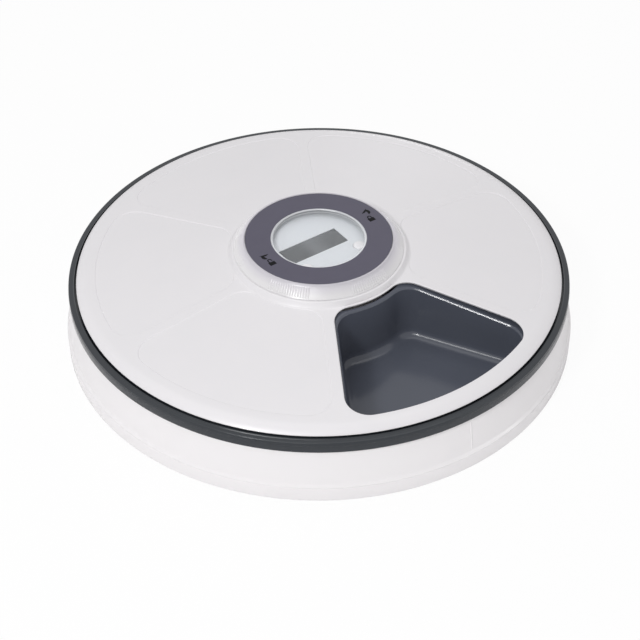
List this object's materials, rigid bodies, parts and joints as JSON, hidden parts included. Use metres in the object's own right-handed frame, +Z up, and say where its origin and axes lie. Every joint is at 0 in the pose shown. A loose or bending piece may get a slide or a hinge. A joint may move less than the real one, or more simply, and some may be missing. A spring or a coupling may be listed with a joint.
{
  "type": "automatic meal tray feeder",
  "caption": "Round pet feeder: a geared tray of compartments turns under a fixed white lid with one serving opening; controls under a clear locking cap.",
  "frame": {"origin": "on the table, under the middle of the base", "axes": "+Z up, the serving opening faces -Y, the display reads along +X"},
  "size_m": [0.325, 0.325, 0.067],
  "materials": {
    "white_shell": "smooth moulded white, soft gloss",
    "door_white": "fine moulded grain",
    "tray_dark": "dark slate, satin",
    "clear_plastic": "polished clear plastic",
    "label_print": "printed grey with black marks",
    "panel_face": "pale blue-grey face",
    "display": "blank display under a clear window",
    "button_white": "smooth white",
    "black_rubber": "matt rubber",
    "inner_plastic": "black moulded",
    "gear_plastic": "natural gear plastic",
    "board_green": "solder mask",
    "cell_jacket": "plain jacket",
    "steel": "plated steel"
  },
  "bodies": {
    "base": {"bottom_cover": "white_shell", "base_shell": "white_shell", "battery_door": "door_white", "control_panel": "panel_face", "lcd_lens": "display", "foot_1": "black_rubber", "foot_2": "black_rubber", "foot_3": "black_rubber", "foot_4": "black_rubber", "key_mat": "black_rubber", "battery_holder": "inner_plastic", "gearmotor_case": "inner_plastic", "index_switch": "inner_plastic", "lcd_module": "inner_plastic", "control_board": "board_green", "cell_1": "cell_jacket", "cell_2": "cell_jacket", "cell_3": "cell_jacket", "minus_contacts": "steel", "plus_contacts": "steel", "motor_can": "steel", "door_screw": "steel", "cover_screw_1": "steel", "cover_screw_2": "steel", "cover_screw_3": "steel", "cover_screw_4": "steel", "cover_screw_5": "steel", "cover_screw_6": "steel", "motor_screw_1": "steel", "motor_screw_2": "steel", "board_screw_1": "steel", "board_screw_2": "steel", "board_screw_3": "steel"},
    "drive_ring": {"drive_ring": "gear_plastic"},
    "drive_pinion": {"drive_pinion": "gear_plastic"},
    "tray": {"food_tray": "tray_dark"},
    "lid": {"lid": "white_shell"},
    "cap": {"clear_cap": "clear_plastic", "label_ring": "label_print"},
    "button_1": {"button_1": "button_white"},
    "button_2": {"button_2": "button_white"},
    "button_3": {"button_3": "button_white"},
    "button_4": {"button_4": "button_white"}
  },
  "joints": [
    {"name": "ring_turn", "type": "hinge", "parent": "base", "child": "drive_ring", "pos_m": [0, 0, 0.018], "axis": [0, 0, 1], "continuous": true},
    {"name": "pinion_turn", "type": "hinge", "parent": "base", "child": "drive_pinion", "pos_m": [0, 0.04199, 0.018], "axis": [0, 0, 1], "continuous": true},
    {"name": "lid_lift", "type": "slide", "parent": "base", "child": "lid", "axis": [0, 0, 1], "range_m": [0, 0.12]},
    {"name": "tray_lift", "type": "slide", "parent": "drive_ring", "child": "tray", "axis": [0, 0, 1], "range_m": [0, 0.05]},
    {"name": "cap_turn", "type": "hinge", "parent": "lid", "child": "cap", "pos_m": [0, 0, 0.06], "axis": [0, 0, 1], "range_deg": [-35, 0]},
    {"name": "button_1_press", "type": "slide", "parent": "base", "child": "button_1", "axis": [0, 0, -1], "range_m": [0, 0.0008], "stiffness_N_per_m": 400, "springref_m": -0.0005},
    {"name": "button_2_press", "type": "slide", "parent": "base", "child": "button_2", "axis": [0, 0, -1], "range_m": [0, 0.0008], "stiffness_N_per_m": 400, "springref_m": -0.0005},
    {"name": "button_3_press", "type": "slide", "parent": "base", "child": "button_3", "axis": [0, 0, -1], "range_m": [0, 0.0008], "stiffness_N_per_m": 400, "springref_m": -0.0005},
    {"name": "button_4_press", "type": "slide", "parent": "base", "child": "button_4", "axis": [0, 0, -1], "range_m": [0, 0.0008], "stiffness_N_per_m": 400, "springref_m": -0.0005}
  ],
  "couplings": [
    {"joint": "pinion_turn", "follows": "ring_turn", "ratio": 4.5},
    {"joint": "tray_lift", "follows": "lid_lift", "ratio": 0.41666}
  ]
}
